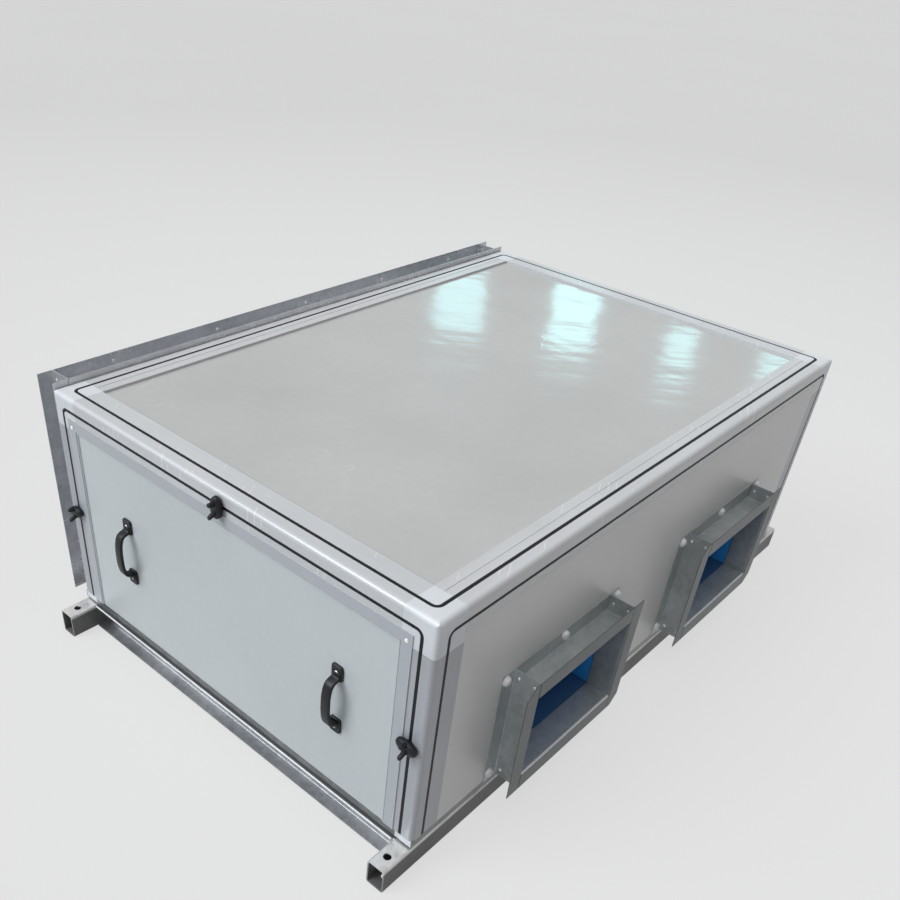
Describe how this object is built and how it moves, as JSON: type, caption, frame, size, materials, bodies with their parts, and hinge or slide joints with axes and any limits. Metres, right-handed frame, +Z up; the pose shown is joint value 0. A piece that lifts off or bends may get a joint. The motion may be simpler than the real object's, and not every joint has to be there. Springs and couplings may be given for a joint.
{
  "type": "air handling unit",
  "caption": "Low framed and panelled air handling unit on a tube base with hanger holes, rectangular outlet collars on the front, a wide inlet collar on the back and a clamped access panel.",
  "frame": {"origin": "on the floor plane, under the middle of the overall plan", "axes": "+Z up; -Y is the outlet face and +Y the inlet face, so air flows towards -Y; -X is the access panel side"},
  "size_m": [1.64, 1.131, 0.595],
  "materials": {
    "galvanised": "satin zinc coating with soft mottling",
    "frame_alloy": "satin anodised extrusion",
    "panel_sheet": "light grey coated sheet, low gloss",
    "white_plastic": "white moulded plastic",
    "black_rubber": "matte black strip",
    "black_nylon": "matte black moulding",
    "fan_paint": "blue paint",
    "motor_paint": "dark grey paint"
  },
  "bodies": {
    "root": {"base_rail_front": "galvanised", "base_rail_back": "galvanised", "base_cross_access": "galvanised", "base_cross_far": "galvanised", "sills": "galvanised", "floor_panel": "galvanised", "near_outlet_sides": "galvanised", "near_outlet_top": "galvanised", "near_outlet_bottom": "galvanised", "far_outlet_sides": "galvanised", "far_outlet_top": "galvanised", "far_outlet_bottom": "galvanised", "inlet_top": "galvanised", "inlet_bottom": "galvanised", "inlet_sides": "galvanised", "near_fan_wheel": "galvanised", "far_fan_wheel": "galvanised", "fan_feet": "galvanised", "corner_posts": "frame_alloy", "top_rails_long": "frame_alloy", "top_rails_short": "frame_alloy", "top_panel": "panel_sheet", "access_panel": "panel_sheet", "far_panel": "panel_sheet", "front_panel": "panel_sheet", "corner_pads": "white_plastic", "top_corners": "white_plastic", "base_seal": "black_rubber", "gasket_top": "black_rubber", "gasket_front": "black_rubber", "gasket_access": "black_rubber", "gasket_far": "black_rubber", "handle_front": "black_nylon", "handle_back": "black_nylon", "clamp_top": "black_nylon", "clamp_front": "black_nylon", "clamp_back": "black_nylon", "near_fan_housing": "fan_paint", "far_fan_housing": "fan_paint", "near_fan_motor": "motor_paint", "far_fan_motor": "motor_paint"}
  },
  "joints": []
}
